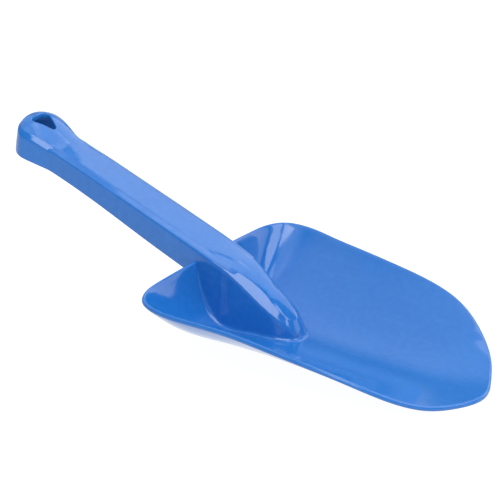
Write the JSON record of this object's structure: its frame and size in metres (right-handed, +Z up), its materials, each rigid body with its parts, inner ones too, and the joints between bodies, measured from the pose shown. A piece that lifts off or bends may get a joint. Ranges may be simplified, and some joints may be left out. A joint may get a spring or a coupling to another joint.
{
  "type": "sand shovel",
  "caption": "Moulded plastic sand shovel: round scoop blade with a flared wall, hollow handle open underneath and an eyelet at the end of the handle for hanging it up.",
  "frame": {"origin": "middle of the length and width, on the underside of the blade where it stands on the ground", "axes": "+X along the shovel from the handle to the digging tip, +Y across it, +Z up out of the scoop"},
  "size_m": [0.23, 0.1056, 0.0691],
  "materials": {
    "blue_plastic": "glossy moulded plastic, one blue all through"
  },
  "bodies": {
    "root": {"blade_floor": "blue_plastic", "blade_wall": "blue_plastic", "rim_lip": "blue_plastic", "handle_foot": "blue_plastic", "handle_grip": "blue_plastic", "hanging_end": "blue_plastic"}
  },
  "joints": []
}
